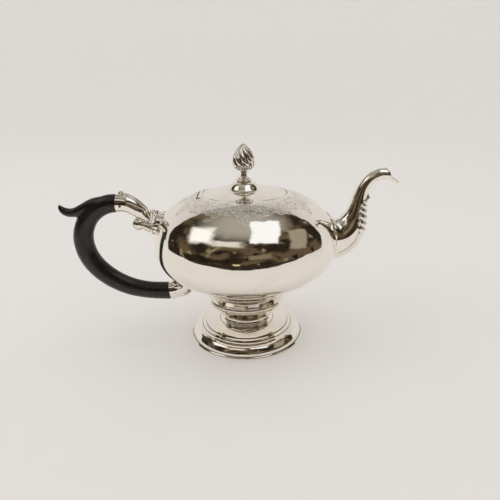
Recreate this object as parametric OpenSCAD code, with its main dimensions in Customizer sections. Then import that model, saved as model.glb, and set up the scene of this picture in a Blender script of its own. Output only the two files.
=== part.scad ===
// Low round silver teapot on a moulded foot, with a cast spout, a flush
// hinged lid and a dark wood C-shaped handle. Millimetres, +Z up.
// The origin is the centre of the foot's flat rest ring; +X is the spout.

/* [Body] */
// Largest radius of the body
body_r = 69; // [64:0.5:74]
// Height of the widest line above the table
belly_z = 77.5; // [75:0.5:82]
// Height of the crown above the widest line
crown_h = 41.5; // [38:0.5:46]
// Depth of the bowl below the widest line
bowl_h = 33.8; // [31:0.2:36]
// Fullness of the shoulder curve
crown_e = 2.35; // [2.1:0.05:2.7]
// Thickness of the raised sheet
sheet = 1.0; // [0.8:0.1:1.4]

/* [Mouth and lid] */
// Radius of the mouth in the crown
mouth_r = 31.7; // [28:0.1:35]
// Gap all round the lid's edge
lid_gap = 0.25; // [0.2:0.05:0.4]
// Thickness of the lid sheet
lid_sheet = 0.85; // [0.7:0.05:0.9]
// Width of the ledge that the lid rests over
ledge_w = 3.1; // [2.6:0.1:4]
// Thickness of the ledge ring
ledge_t = 1.2; // [0.8:0.1:2]
// Gap between the lid's bezel and the ledge
bezel_gap = 0.4; // [0.3:0.05:0.8]
// Depth of the bezel below the lid
bezel_h = 4.2; // [3:0.1:6]
// Outer radius of the small dome on the lid
dome_r = 15; // [13:0.2:18]
// Height of the small dome
dome_h = 5.9; // [4:0.1:8]
// Diameter of the steam vent in the dome
vent_d = 1.6; // [1:0.1:2.4]

/* [Hinge] */
// Distance of the hinge pin outside the mouth's edge
hinge_set = 0.8; // [0.5:0.1:1.5]
// Radius of the hinge knuckles
knuckle_r = 1.7; // [1.5:0.1:2]
// Radius of the hinge pin
pin_r = 0.8; // [0.6:0.05:0.9]
// Running clearance of the pin in the lid's knuckles
pin_gap = 0.05; // [0.03:0.01:0.08]
// Length of the hinge
hinge_l = 25; // [22:0.5:27]
// Side gap between knuckles
knuckle_gap = 0.2; // [0.15:0.05:0.3]
// Gap between the barrel and the sheet edges beside it
barrel_gap = 0.4; // [0.35:0.05:0.6]
// Thickness of the two hinge leaves
leaf_t = 0.8; // [0.6:0.1:1]
// Length of the body leaf beyond the barrel
leaf_l = 8.5; // [6:0.5:10]

/* [Foot] */
// Radius of the rim wire
foot_r = 45.2; // [43:0.2:48]
// Height of the rim wire
rim_h = 2.7; // [2:0.1:3.5]
// Radial width of the rim wire
rim_w = 3.4; // [2.5:0.1:4]
// Height of the foot's plateau
plateau_z = 13.4; // [12:0.1:15]
// Radius at the waist
waist_r = 19.3; // [17:0.1:21]
// Height of the wire girdle's underside
girdle_z = 30.3; // [29:0.1:31.5]
// Height of the wire girdle
girdle_h = 2.8; // [2:0.1:3.2]
// Radius of the girdle
girdle_r = 30.2; // [29:0.1:31]
// Radius where the cup meets the bowl
cup_r = 41; // [39:0.2:42]
// Thickness of the foot's sheet
foot_t = 1.1; // [0.8:0.1:1.6]

/* [Spout] */
// Wall of the cast spout
spout_t = 1.0; // [0.8:0.1:1.4]
// Width of the flange round the spout's root
flange_w = 1.9; // [1.2:0.1:3]
// Thickness of the root flange and of the handle's shell plate
plate_t = 1.3; // [0.8:0.1:2]
// Diameter of the strainer holes
strain_d = 2.6; // [1.8:0.1:3]
// Spacing of the strainer holes
strain_p = 5; // [4:0.1:6]

/* [Handle] */
// Radius of the wooden tenons
tenon_r = 4.8; // [4:0.1:5.2]
// Length of the tenons
tenon_l = 8; // [6:0.5:10]
// Clearance round the tenons
tenon_gap = 0.1; // [0.05:0.05:0.2]
// Wall of the sockets beside the tenons
socket_wall = 1.6; // [1.2:0.1:2]
// Radius of the rivets
rivet_r = 1; // [0.8:0.1:1.3]
// Radius of the ball below the upper socket
ball_r = 5.1; // [4.6:0.1:5.5]

/* [Finial] */
// Radius of the finial's bolt
bolt_r = 1.25; // [1:0.05:1.5]
// Radius of the bud
bud_r = 8.45; // [7:0.05:10]
// Radius of the moulded collar
collar_r = 6.4; // [5:0.1:7.5]

/* [Hidden] */
$fn = 72;
silver = [0.86, 0.84, 0.8];
dark_wood = [0.09, 0.075, 0.07];

// ---- turned outline of the body -------------------------------------
bowl_e = 2.22;
bowl_ez = 2.05;
function crown_curve(r) = belly_z + crown_h * pow(1 - pow(r / body_r, crown_e), 1 / crown_e);
function bowl_curve(r) = belly_z - bowl_h * pow(1 - pow(r / body_r, bowl_e), 1 / bowl_ez);
// radii where the crown's and the bowl's stations end and the side begins
crown_top = 2 * ceil((mouth_r + hinge_set + knuckle_r + barrel_gap + leaf_l) / 2);
bowl_top = 2 * ceil((cup_r + 0.5) / 2);
crown_tab = [for (r = [0:2:crown_top + 6]) [r, crown_curve(r)]];
bowl_tab = [for (r = [0:2:bowl_top + 6]) [r, bowl_curve(r)]];
// outer faces as chords between fixed stations, so that soldered pieces meet exactly
function crown(r) = lookup(r, crown_tab);
function bowl(r) = lookup(r, bowl_tab);
// stations of a table strictly between two radii
function between(a, b, up = true) = up ? [for (r = [0:2:64]) if (r > a && r < b) r]
    : [for (r = [64:-2:0]) if (r > a && r < b) r];
function crown_run(a, b, dz = 0) = concat([[a, crown(a) + dz]],
    [for (r = between(min(a, b), max(a, b), b > a)) [r, crown(r) + dz]], [[b, crown(b) + dz]]);
function bowl_run(a, b, dz = 0) = concat([[a, bowl(a) + dz]],
    [for (r = between(min(a, b), max(a, b), b > a)) [r, bowl(r) + dz]], [[b, bowl(b) + dz]]);
// the side of the body between the two tables, drawn in by d
side_n = 9;
function side(d) = let(R = body_r - d,
        t0 = acos(pow((crown_top + 3) / R, crown_e / 2)),
        t1 = acos(pow((bowl_top + 3) / R, bowl_e / 2)))
    concat([for (i = [0:side_n]) let(a = t0 * (1 - i / side_n))
            [R * pow(cos(a), 2 / crown_e), belly_z + (crown_h - d) * pow(sin(a), 2 / crown_e)]],
        [for (i = [1:side_n]) let(a = t1 * i / side_n)
            [R * pow(cos(a), 2 / bowl_e), belly_z - (bowl_h - d) * pow(sin(a), 2 / bowl_ez)]]);
module body_solid(d = 0) {
    rotate_extrude() polygon(concat([[0, crown(0) + d]],
        crown_run(2, crown_top, d), side(-d), bowl_run(bowl_top, 2, -d), [[0, bowl(0) - d]]));
}

// ---- mouth, ledge and hinge -----------------------------------------
lid_r = mouth_r - lid_gap;
ledge_in = mouth_r - ledge_w;
ledge_out = mouth_r + 2.8;
bezel_out = ledge_in - bezel_gap;
bezel_in = bezel_out - 1;
hinge_x = mouth_r + hinge_set;
hinge_z = crown(hinge_x) - knuckle_r - 0.1;
slot_half = knuckle_r + barrel_gap;
slot_y = hinge_l / 2 + 0.8;
k_l = (hinge_l - 4 * knuckle_gap) / 5;
function k_y(i) = -hinge_l / 2 + i * (k_l + knuckle_gap);
// room for the barrel in the crown
module hinge_slot() {
    translate([-hinge_x - slot_half, -slot_y, hinge_z - 4])
        cube([2 * slot_half, 2 * slot_y, 12]);
}
module knuckle(i, bore) {
    translate([-hinge_x, k_y(i), hinge_z]) rotate([-90, 0, 0]) difference() {
        cylinder(r = knuckle_r, h = k_l);
        translate([0, 0, -1]) cylinder(r = bore, h = k_l + 2);
    }
}

// ---- sweeps in the upright plane ------------------------------------
// smooth curve through hand-set stations
function cr(P, t) = let(n = len(P) - 1, i = min(floor(t), n - 1), u = t - i,
        p1 = P[i], p2 = P[i + 1],
        p0 = i == 0 ? 2 * p1 - p2 : P[i - 1], p3 = i + 2 > n ? 2 * p2 - p1 : P[i + 2])
    0.5 * (2 * p1 + (p2 - p0) * u + (2 * p0 - 5 * p1 + 4 * p2 - p3) * u * u
        + (3 * p1 - p0 - 3 * p2 + p3) * u * u * u);
function heading(P, t) = let(n = len(P) - 1, a = cr(P, max(0, t - 0.02)), b = cr(P, min(n, t + 0.02)),
        v = [b[0] - a[0], b[1] - a[1]]) v / norm(v);
function at(P, t, cut, phi) = let(s = cr(P, t), h = heading(P, t))
    [s[0] - h[1] * (s[2] - cut) * cos(phi), (s[3] - cut) * sin(phi), s[1] + h[0] * (s[2] - cut) * cos(phi)];
function side_faces(m, n) = [for (i = [0:m - 2], j = [0:n - 1])
        let(a = i * n + j, b = i * n + (j + 1) % n, c = a + n, d = b + n) each [[a, b, d], [a, d, c]]];
// solid bar through stations [x, z, half height, half width]
module bar(P, steps = 4, sides = 24, cut = 0) {
    m = (len(P) - 1) * steps + 1;
    polyhedron([for (i = [0:m - 1], j = [0:sides - 1]) at(P, i / steps, cut, 360 * j / sides)],
        concat(side_faces(m, sides), [[for (j = [sides - 1:-1:0]) j],
            [for (j = [0:sides - 1]) (m - 1) * sides + j]]), convexity = 8);
}
// one half of a split tube; a fifth number opens the arc from the top
module half_tube(P, wall, steps = 4, k = 12) {
    m = (len(P) - 1) * steps + 1;
    n = 2 * (k + 1);
    function ph(t, j) = let(f = max(0, cr(P, t)[4])) f + (180 - f) * j / k;
    polyhedron([for (i = [0:m - 1], j = [0:n - 1]) let(t = i / steps)
            j <= k ? at(P, t, 0, ph(t, j)) : at(P, t, wall, ph(t, n - 1 - j))],
        concat(side_faces(m, n),
            [for (j = [0:k - 1]) [n - 1 - j, n - 2 - j, j + 1, j]],
            [for (j = [0:k - 1]) let(e = (m - 1) * n) [e + j, e + j + 1, e + n - 2 - j, e + n - 1 - j]]),
        convexity = 8);
}

// ---- stations: [x, z, half height, half width] -----------------------
// The first two numbers are distances out from the body's side and up from its widest line.
function from_side(dir, P) = [for (s = P) [dir * (body_r + s[0]), belly_z + s[1], s[2], s[3], s[4]]];
spout_line = from_side(1, [[-9, 1.5, 18.4, 13.4, 0], [-1, 2.7, 16.8, 12.4, 0], [6, 5.5, 14.5, 10.8, 0],
    [11, 11, 12, 9.2, 0], [14, 18.5, 9, 7.6, 0], [15.7, 27, 6.5, 6.3, 0], [17, 34, 5.5, 5.5, 0],
    [19.5, 41, 4.7, 5, 0], [24, 47, 4.4, 4.8, 0], [30, 50.1, 4.4, 4.7, 0], [34.6, 50.4, 4.2, 4.6, 0]]);
lip_line = from_side(1, [[34.6, 50.4, 4.2, 4.6, 0], [36.5, 50.2, 4.2, 4.5, 70], [38.6, 49.7, 4.2, 4.3, 105],
    [42.6, 48.6, 4.3, 3.6, 125], [46.6, 46.7, 4.3, 2.6, 145]]);
pour_line = concat([for (i = [0:9]) spout_line[i]], lip_line);

// half width and half height where the grip meets a socket
joint_w = tenon_r + socket_wall;
joint_h = joint_w + 0.6;
// shoulders of the two joints, and how far each bar runs past its shoulder before it is cut
top_joint = from_side(-1, [[26.2, 32, 0, 0, 0]])[0];
low_joint = from_side(-1, [[-8.6, -40.1, 0, 0, 0]])[0];
grip_line = from_side(-1, [[24.2, 32.1, joint_h, joint_w, 0], [33, 31.4, 7.1, 6.4, 0],
    [41, 28.1, 7.2, 6.5, 0], [48, 21.9, 7.1, 6.5, 0], [52.8, 13.9, 7.4, 6.5, 0],
    [55, 4.5, 7.6, 6.5, 0], [53.8, -6, 7.7, 6.5, 0],
    [49.4, -15.7, 7.7, 6.5, 0], [42, -24.3, 7.6, 6.5, 0], [32.5, -31.3, 7.4, 6.4, 0],
    [21, -36.5, 7.1, 6.4, 0], [7, -39.4, 6.9, 6.3, 0], [-10.6, -40, joint_h + 0.1, joint_w - 0.1, 0]]);
spur_line = from_side(-1, [[34, 33.9, 4, 4.4, 0], [43.5, 31.8, 4.4, 5.2, 0], [51, 28.5, 4.1, 4.8, 0],
    [57.5, 25.8, 3.6, 4.2, 0], [62.5, 25.2, 3.3, 3.6, 0], [66.6, 26.6, 2.9, 2.9, 0],
    [69, 29.3, 1.9, 1.9, 0], [69.7, 31.4, 0.7, 0.8, 0]]);
upper_line = from_side(-1, [[28.2, 32.1, joint_h, joint_w, 0], [20, 31.6, joint_h - 0.1, joint_w + 0.1, 0],
    [15.6, 29.7, 6.5, joint_w - 0.1, 0], [11.4, 26.7, 6, 5.8, 0], [8.2, 23.8, 5.2, 4.8, 0],
    [5.4, 20.4, 3.2, 3.2, 0], [4, 17.3, 1.4, 1.5, 0]]);
// the horn below the bowl stands just outside the foot's cup
horn_x = -cup_r - 7.2;
lower_line = [[low_joint[0] - 2, low_joint[1] - 0.1, joint_h + 0.1, joint_w - 0.1, 0],
    [low_joint[0] + 5.8, low_joint[1] + 1.1, joint_h, joint_w - 0.2, 0],
    [horn_x - 1, belly_z - 35.7, 8.6, joint_w - 0.6, 0], [horn_x - 0.2, belly_z - 30, 7, 5.2, 0],
    [horn_x, belly_z - 23.5, 6.4, 4.8, 0], [horn_x, belly_z - 17.5, 6.2, 4.6, 0]];
upper_tilt = 3.5;
lower_tilt = 2.5;
upper_pin = [top_joint[0] + 3.7, top_joint[1] - 1.1];
lower_pin = [low_joint[0] + 3.8, low_joint[1] - 0.8];
ball = [-body_r - 11.3, belly_z + 15.7];
fan_z = belly_z + 13.7;
fan_h = 2;
neck_tilt = 19;

// ---- pot --------------------------------------------------------------
module strainer() {
    for (row = [-2:2]) for (col = [-2:2])
        if (abs(row) + abs(col) < 4)
            translate([body_r - 9, (col + (abs(row) % 2) / 2) * strain_p,
                    belly_z + 3.5 + row * strain_p * 0.87])
                rotate([0, 90, 0]) cylinder(d = strain_d, h = 12);
}
module body_shell() {
    color(silver) difference() {
        rotate_extrude() polygon(concat(crown_run(mouth_r, crown_top), side(0), bowl_run(bowl_top, 2),
            [[0, bowl(0)]], [[0, bowl(0) + sheet]], bowl_run(2, bowl_top, sheet),
            [for (i = [2 * side_n:-1:0]) side(sheet)[i]], crown_run(crown_top, mouth_r, -sheet)));
        hinge_slot();
        strainer();
    }
}
module lid_ledge() {
    color(silver) difference() {
        rotate_extrude() polygon(concat(crown_run(ledge_in, ledge_out, -sheet),
            crown_run(ledge_out, ledge_in, -sheet - ledge_t)));
        hinge_slot();
        translate([-hinge_x, -k_y(3) - k_l - 0.5, hinge_z - 4])
            cube([hinge_x - ledge_in + 3, 2 * (k_y(3) + k_l + 0.5), 12]);
    }
}
module foot_cup() {
    z = girdle_z + girdle_h; h = bowl(cup_r) - z; w = cup_r - girdle_r; t = foot_t;
    color(silver) rotate_extrude() polygon(concat(
        [[girdle_r - 1.8, z], [girdle_r - 0.8, z], [girdle_r - 0.2, z + 0.06 * h],
         [girdle_r + 0.15 * w, z + 0.28 * h], [girdle_r + 0.43 * w, z + 0.55 * h],
         [girdle_r + 0.75 * w, z + 0.76 * h], [cup_r - 0.7, z + 0.9 * h]],
        bowl_run(cup_r, cup_r - 2.4),
        [[girdle_r + 0.75 * w - 1.4 * t, z + 0.73 * h], [girdle_r + 0.43 * w - 1.2 * t, z + 0.55 * h],
         [girdle_r + 0.15 * w - 1.1 * t, z + 0.28 * h], [girdle_r - 1.4, z + 0.09 * h]]));
}
module foot_girdle() {
    color(silver) rotate_extrude() translate([girdle_r, girdle_z + girdle_h / 2])
        polygon([[-2.6, -1.4], [-0.9, -1.4], [-0.25, -1.2], [0, -0.8], [-0.1, -0.4], [-0.5, -0.15],
            [-0.5, 0.15], [-0.1, 0.35], [0, 0.75], [-0.25, 1.15], [-0.8, 1.4], [-2.6, 1.4]]
            * (girdle_h / 2.8));
}
module foot_stem() {
    z = plateau_z; h = girdle_z - z; w = waist_r; g = girdle_r; t = foot_t;
    color(silver) rotate_extrude() polygon([
        [w + 1.9, z], [w + 0.5, z + 0.03 * h], [w, z + 0.09 * h], [w + 0.3, z + 0.15 * h],
        [w + 1.3, z + 0.18 * h], [w + 1.7, z + 0.22 * h], [w + 1.4, z + 0.26 * h],
        [w + 1.2, z + 0.29 * h], [w + 2.2, z + 0.38 * h], [w + 0.42 * (g - w), z + 0.56 * h],
        [w + 0.66 * (g - w), z + 0.77 * h], [g - 1.9, z + 0.93 * h], [g - 1.6, z + h],
        [g - 2.6, z + h], [g - 1.9 - 1.2 * t, z + 0.92 * h], [w + 0.66 * (g - w) - 1.1 * t, z + 0.77 * h],
        [w + 0.42 * (g - w) - t, z + 0.57 * h], [w + 2.2 - t, z + 0.39 * h], [w - t, z + 0.18 * h],
        [w - t, z + 0.06 * h], [w - 0.6, z]]);
}
module foot_dome() {
    z = plateau_z; r = foot_r; w = waist_r; t = foot_t;
    // steps of the outline, as shares of the dome's width and height
    s = (r - w) / 26; k = (z - rim_h) / 10.7;
    color(silver) rotate_extrude() polygon([
        [w - 0.6, z], [w + 1.9, z], [w + 5 * s, z - 0.3 * k], [r - 17 * s, z - 0.7 * k],
        [r - 14 * s, z - 1.1 * k], [r - 12.4 * s, z - 1.6 * k], [r - 12 * s, z - 2.1 * k],
        [r - 9.3 * s, z - 3 * k], [r - 8.4 * s, z - 3.2 * k], [r - 6.4 * s, z - 3.8 * k],
        [r - 4.2 * s, z - 5.1 * k], [r - 2.6 * s, z - 7 * k], [r - 1.7 * s, z - 8.8 * k], [r - 1.3, rim_h],
        [r - 1.3 - t, rim_h], [r - 1.7 * s - t, z - 8.8 * k], [r - 2.7 * s - 0.85 * t, z - 7 * k - 0.4 * t],
        [r - 4.4 * s - 0.6 * t, z - 5.1 * k - 0.75 * t], [r - 6.6 * s - 0.4 * t, z - 3.8 * k - 0.9 * t],
        [r - 9.4 * s - 0.2 * t, z - 3.1 * k - t], [r - 12 * s - 0.4 * t, z - 2.1 * k - t],
        [r - 12.6 * s - 0.4 * t, z - 1.6 * k - t], [r - 14.4 * s, z - 1.1 * k - t],
        [r - 17 * s, z - 0.7 * k - t], [w + 5 * s, z - 0.3 * k - t], [w - 0.6, z - t]]);
}
module foot_rim() {
    r = foot_r; w = rim_w;
    color(silver) rotate_extrude() polygon([[r - w, 0], [r - 0.3, 0], [r, 0.4], [r, rim_h - 1.2],
        [r - 0.3, rim_h - 0.5], [r - 1, rim_h], [r - w, rim_h]]);
}

// ---- spout ------------------------------------------------------------
module spout_half() {
    difference() {
        half_tube(pour_line, spout_t);
        body_solid();
    }
}
module spout_far_half() { color(silver) spout_half(); }
module spout_near_half() { color(silver) mirror([0, 1, 0]) spout_half(); }
// flat oval of the flange, seen along the spout's root
module root_oval(w) {
    translate([0, 0, belly_z + 2.5]) rotate([90, 0, 90]) linear_extrude(body_r + 14)
        polygon([for (i = [0:39]) let(a = 9 * i)
            [(spout_line[1][3] + 0.3 + w) * cos(a), (spout_line[1][2] + 0.4 + w) * sin(a)]]);
}
module spout_flange() {
    color(silver) difference() {
        intersection() {
            body_solid(plate_t);
            root_oval(flange_w);
        }
        body_solid();
        for (m = [0, 1]) mirror([0, m, 0]) intersection() {
            bar(spout_line);
            translate([0, -0.01, 0]) cube(2 * belly_z);
        }
    }
}

// ---- handle -----------------------------------------------------------
module tenon(p, tilt, gap, l) {
    translate([p[0], 0, p[1]]) rotate([0, 90 + tilt, 0]) translate([0, 0, -1])
        cylinder(r = tenon_r + gap, h = l + 1);
}
// everything on the socket's side (1) or the grip's side (-1) of a joint's shoulder
module beyond(p, tilt, way) {
    translate([p[0], 0, p[1]]) rotate([0, tilt, 0]) translate([way > 0 ? 0 : -8, -20, -20]) cube([8, 40, 40]);
}
module pin_hole(p) {
    translate([p[0], -20, p[1]]) rotate([-90, 0, 0]) cylinder(r = rivet_r, h = 40);
}
module rivet(p, half) {
    translate([p[0], -half, p[1]]) rotate([-90, 0, 0]) cylinder(r = rivet_r, h = 2 * half);
}
module handle_grip() {
    color(dark_wood) difference() {
        union() {
            difference() {
                union() {
                    bar(grip_line);
                    bar(spur_line, sides = 20);
                }
                beyond(top_joint, upper_tilt, 1);
                beyond(low_joint, -lower_tilt, 1);
            }
            tenon(top_joint, upper_tilt, 0, tenon_l);
            tenon(low_joint, -lower_tilt, 0, tenon_l);
        }
        pin_hole(upper_pin);
        pin_hole(lower_pin);
    }
}
module upper_socket() {
    color(silver) difference() {
        union() {
            bar(upper_line);
            translate([ball[0], 0, ball[1]]) {
                sphere(r = ball_r);
                cylinder(r = 0.45 * ball_r, h = 8);
            }
        }
        beyond(top_joint, upper_tilt, -1);
        tenon(top_joint, upper_tilt, tenon_gap, tenon_l + 0.5);
        pin_hole(upper_pin);
    }
}
module upper_neck() {
    $fn = 180;
    color(silver) difference() {
        translate([ball[0], 0, ball[1]]) rotate([0, 90 + neck_tilt, 0]) rotate_extrude()
            polygon([[0, 3], [3, 3], [2.3, 5.4], [2.1, 6], [3.1, 6.5], [3.5, 7.4], [3.1, 8.4],
                [2.4, 8.9], [2.9, 9.3], [3.5, 9.8], [3.7, 10.6], [3.3, 11.3], [2.9, 11.6],
                [2.9, 18], [0, 18]]);
        translate([ball[0], 0, ball[1]]) sphere(r = ball_r);
        body_solid(plate_t + fan_h);
    }
}
// scallop outline, deeper above the neck, seen along the neck
module fan_outline(k) {
    translate([-body_r - 8, 0, fan_z]) rotate([90, 0, 90]) linear_extrude(40)
        polygon([for (i = [0:71]) let(a = 5 * i, up = (1 + sin(a)) / 2)
            k * (7 + 5 * up) * (1 + 0.05 * cos(9 * a)) * [cos(a), sin(a)]]);
}
module upper_shell_plate() {
    color(silver) difference() {
        union() {
            intersection() {
                body_solid(plate_t);
                fan_outline(1);
            }
            intersection() {
                body_solid(plate_t + fan_h);
                fan_outline(0.66);
            }
        }
        body_solid();
    }
}
module lower_socket() {
    color(silver) difference() {
        bar(lower_line);
        body_solid();
        cylinder(r = cup_r + 0.3, h = bowl(cup_r) + 0.2);
        beyond(low_joint, -lower_tilt, -1);
        tenon(low_joint, -lower_tilt, tenon_gap, tenon_l + 0.5);
        pin_hole(lower_pin);
    }
}
module upper_rivet() { color(silver) rivet(upper_pin, joint_w + 0.3); }
module lower_rivet() { color(silver) rivet(lower_pin, joint_w + 0.1); }

// ---- hinge ------------------------------------------------------------
module leaf_ring(r0, r1, top) {
    rotate_extrude() polygon(concat(crown_run(r0, r1, -top), crown_run(r1, r0, -top - leaf_t)));
}
module hinge_body_leaf() {
    x1 = -hinge_x - slot_half;
    zt = crown(-x1 + 3) - sheet - 0.05;
    color(silver) union() {
        difference() {
            intersection() {
                leaf_ring(-x1 - 2, -x1 + leaf_l, sheet);
                translate([x1 - 4, -hinge_l / 2, belly_z]) cube([4, hinge_l, crown_h]);
            }
            rotate_extrude()
                polygon([[0, belly_z], [ledge_out, belly_z], [ledge_out, belly_z + 60], [0, belly_z + 60]]);
        }
        for (i = [0, 2, 4]) {
            knuckle(i, pin_r);
            difference() {
                translate([x1 - 0.4, k_y(i), zt - leaf_t]) cube([slot_half + 0.4, k_l, leaf_t]);
                translate([-hinge_x, k_y(i) - 1, hinge_z]) rotate([-90, 0, 0])
                    cylinder(r = pin_r + 0.4, h = k_l + 2);
            }
        }
    }
}
module hinge_pin() {
    color(silver) translate([-hinge_x, -hinge_l / 2, hinge_z]) rotate([-90, 0, 0])
        cylinder(r = pin_r, h = hinge_l);
}
module hinge_lid_leaf() {
    x0 = -hinge_x + slot_half;
    zt = crown(-x0 + 1.6) - lid_sheet - 0.05;
    color(silver) union() {
        difference() {
            intersection() {
                leaf_ring(bezel_out + 0.1, lid_r, lid_sheet);
                translate([x0, k_y(1), belly_z]) cube([6, k_y(3) + k_l - k_y(1), crown_h]);
            }
            cylinder(r = bezel_out, h = 200);
        }
        for (i = [1, 3]) {
            knuckle(i, pin_r + pin_gap);
            difference() {
                translate([-hinge_x, k_y(i), zt - leaf_t]) cube([slot_half + 0.4, k_l, leaf_t]);
                translate([-hinge_x, k_y(i) - 1, hinge_z]) rotate([-90, 0, 0])
                    cylinder(r = pin_r + 0.4, h = k_l + 2);
            }
        }
    }
}

// ---- lid --------------------------------------------------------------
dome_in = dome_r - 2;
module lid_plate() {
    color(silver) difference() {
        rotate_extrude() polygon(concat(crown_run(dome_in, lid_r), crown_run(lid_r, dome_in, -lid_sheet)));
        hinge_slot();
    }
}
module lid_bezel() {
    color(silver) rotate_extrude() polygon(concat(crown_run(bezel_in, bezel_out, -lid_sheet),
        [[bezel_out, crown(bezel_out) - lid_sheet - bezel_h],
         [bezel_in, crown(bezel_out) - lid_sheet - bezel_h]]));
}
dome_z = crown(dome_r) + dome_h;
module lid_dome() {
    z = crown(dome_r); h = dome_h; r = dome_r; t = lid_sheet;
    color(silver) difference() {
        rotate_extrude() polygon(concat(crown_run(r - 1.6, r),
            [[r - 0.4, z + 0.35], [r - 1.4, z + 0.1 * h], [r - 2.2, z + 0.28 * h], [r - 3, z + 0.52 * h],
             [r - 4.4, z + 0.76 * h], [r - 6.4, z + 0.93 * h], [r - 8.4, z + h], [bolt_r, z + h],
             [bolt_r, z + h - t], [r - 8.6, z + h - t], [r - 6.9, z + 0.93 * h - t],
             [r - 5.2, z + 0.72 * h - 0.6], [r - 4, z + 0.5 * h - 0.3], [r - 3.1, z + 0.24 * h]]));
        translate([0, 0, z + 0.42 * h]) rotate([-60, 0, 0]) cylinder(d = vent_d, h = 20);
    }
}
bud_z = dome_z + 7.4;
module finial_collar() {
    z = dome_z; r = collar_r; b = bolt_r;
    color(silver) rotate_extrude() polygon([[b, z], [r - 1.2, z], [r - 0.6, z + 0.4], [r, z + 1],
        [r - 0.2, z + 1.6], [r - 1.2, z + 1.9], [r - 1.6, z + 2.2], [r - 1.9, z + 2.8], [r - 2.8, z + 3.2],
        [r - 3.7, z + 3.9], [b + 1.2, z + 4.9], [b + 1.1, z + 5.7], [b + 1.4, z + 6.1], [b + 1.5, z + 6.6],
        [b + 1.3, z + 7], [b + 1.2, bud_z], [b, bud_z]]);
}
module finial_bud() {
    z = bud_z; r = bud_r; b = bolt_r;
    color(silver) rotate_extrude() polygon([[b, z], [2.6, z], [4.6, z + 0.9], [6.8, z + 2.6],
        [r - 0.4, z + 4.3], [r, z + 5.9], [r - 0.1, z + 7.6], [r - 0.7, z + 10], [r - 1.6, z + 12.3],
        [r - 2.9, z + 14.4], [r - 4.5, z + 16.5], [r - 6, z + 18.1], [r - 7.2, z + 19.1],
        [r - 7.9, z + 19.5], [0, z + 19.7], [0, z + 6], [b, z + 6]]);
}
module finial_bolt() {
    color(silver) translate([0, 0, dome_z - lid_sheet - 3.8])
        cylinder(r = bolt_r, h = bud_z + 6 - dome_z + lid_sheet + 3.8);
}
module finial_washer() {
    color(silver) translate([0, 0, dome_z - lid_sheet - 0.6]) difference() {
        cylinder(r = 4, h = 0.6);
        translate([0, 0, -1]) cylinder(r = bolt_r, h = 3);
    }
}
module finial_nut() {
    color(silver) translate([0, 0, dome_z - lid_sheet - 2.8]) difference() {
        cylinder(r = 3.2, h = 2.2, $fn = 6);
        translate([0, 0, -1]) cylinder(r = bolt_r, h = 5);
    }
}

body_shell();
lid_ledge();
foot_cup();
foot_girdle();
foot_stem();
foot_dome();
foot_rim();
spout_near_half();
spout_far_half();
spout_flange();
handle_grip();
upper_socket();
upper_neck();
upper_shell_plate();
lower_socket();
upper_rivet();
lower_rivet();
hinge_body_leaf();
hinge_pin();
hinge_lid_leaf();
lid_plate();
lid_bezel();
lid_dome();
finial_collar();
finial_bud();
finial_bolt();
finial_washer();
finial_nut();
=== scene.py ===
import math

import bpy
from mathutils import Matrix, Vector


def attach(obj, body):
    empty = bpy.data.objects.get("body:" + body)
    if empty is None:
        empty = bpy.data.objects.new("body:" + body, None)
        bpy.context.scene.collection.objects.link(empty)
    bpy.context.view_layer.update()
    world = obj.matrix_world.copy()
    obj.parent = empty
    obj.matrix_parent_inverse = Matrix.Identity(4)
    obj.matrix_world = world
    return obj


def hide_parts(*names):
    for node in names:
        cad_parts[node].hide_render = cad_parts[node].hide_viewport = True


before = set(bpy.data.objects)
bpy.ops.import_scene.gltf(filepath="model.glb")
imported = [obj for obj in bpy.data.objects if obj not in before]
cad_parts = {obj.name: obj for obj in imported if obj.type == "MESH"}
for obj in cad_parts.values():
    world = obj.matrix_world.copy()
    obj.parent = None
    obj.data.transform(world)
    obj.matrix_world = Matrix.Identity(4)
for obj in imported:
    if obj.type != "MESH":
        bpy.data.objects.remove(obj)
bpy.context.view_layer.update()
MM = 0.001

# sizes of the pot, in millimetres, as in the part
BODY_R, BELLY_Z, CROWN_H, CROWN_E = 69, 77.5, 41.5, 2.35
BOWL_H, BOWL_E, BOWL_EZ, SHEET = 33.8, 2.22, 2.05, 1.0
MOUTH_R, LID_R, LID_SHEET, DOME_R, DOME_H = 31.7, 31.45, 0.85, 15, 5.9
HINGE_X, HINGE_Z, HINGE_HALF = 32.5, 114.023, 13.3
FOOT_R, RIM_H, PLATEAU_Z, WAIST_R = 45.2, 2.7, 13.4, 19.3
GIRDLE_R, GIRDLE_Z, GIRDLE_H, CUP_R, FOOT_T = 30.2, 30.3, 2.8, 41, 1.1
BUD_R, COLLAR_R, BOLT_R = 8.45, 6.4, 1.25
BALL_X, BALL_Z, BALL_R, NECK_TILT = -80.3, 93.2, 5.1, 109
BALL_AT = (BALL_X * MM, 0, BALL_Z * MM)


def crown(r):
    return BELLY_Z + CROWN_H * (1 - (r / BODY_R) ** CROWN_E) ** (1 / CROWN_E)


def bowl(r):
    return BELLY_Z - BOWL_H * (1 - (r / BODY_R) ** BOWL_E) ** (1 / BOWL_EZ)


def side_out(y, z, proud=0.0):
    """How far from the pot's axis the body's face is at this height, then how far along X at this Y."""
    up = z - BELLY_Z
    if up > 0:
        r = (BODY_R + proud) * (1 - min(1, up / (CROWN_H + proud)) ** CROWN_E) ** (1 / CROWN_E)
    else:
        r = (BODY_R + proud) * (1 - min(1, -up / (BOWL_H + proud)) ** BOWL_EZ) ** (1 / BOWL_E)
    return math.sqrt(max(r * r - y * y, 0))


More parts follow.
